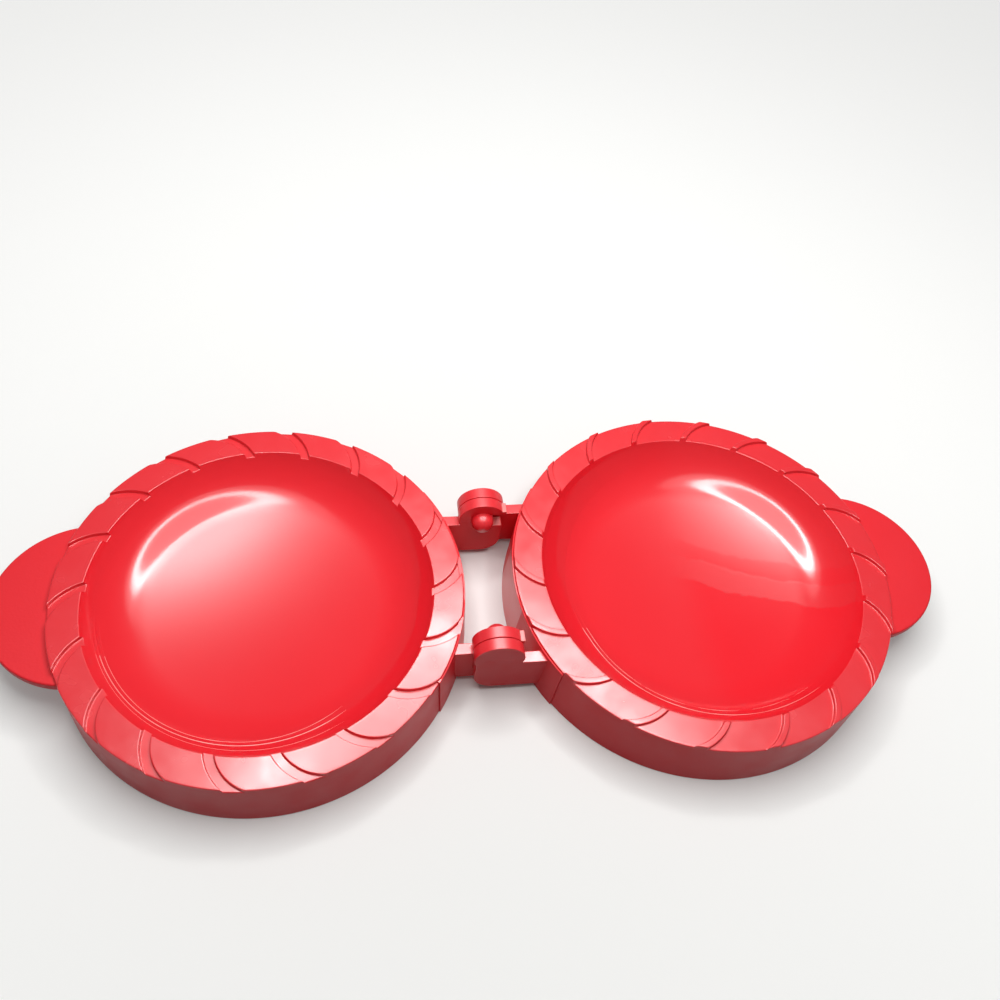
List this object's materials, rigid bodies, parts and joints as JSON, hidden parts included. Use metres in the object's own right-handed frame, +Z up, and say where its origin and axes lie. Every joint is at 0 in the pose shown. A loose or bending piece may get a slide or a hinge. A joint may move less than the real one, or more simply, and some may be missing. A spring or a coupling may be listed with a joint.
{
  "type": "empanada press",
  "caption": "Folding empanada press: round moulded dishes with swirled grooved and ribbed crimping rims and thumb tabs, joined by a snap hinge.",
  "frame": {"origin": "on the table, under the middle of the hinge axis", "axes": "+X from the grooved half to the ribbed half, +Y along the hinge axis, +Z up out of the open bowls"},
  "size_m": [0.3636, 0.153, 0.0349],
  "materials": {
    "red_plastic": "gloss bowl, satin rim and skirt, matte tab"
  },
  "bodies": {
    "grooved_half": {"grooved_half": "red_plastic"},
    "ribbed_half": {"ribbed_half": "red_plastic"}
  },
  "joints": [
    {"name": "fold", "type": "hinge", "parent": "grooved_half", "child": "ribbed_half", "pos_m": [0, 0, 0.0256], "axis": [0, -1, 0], "range_deg": [-18, 180]}
  ]
}
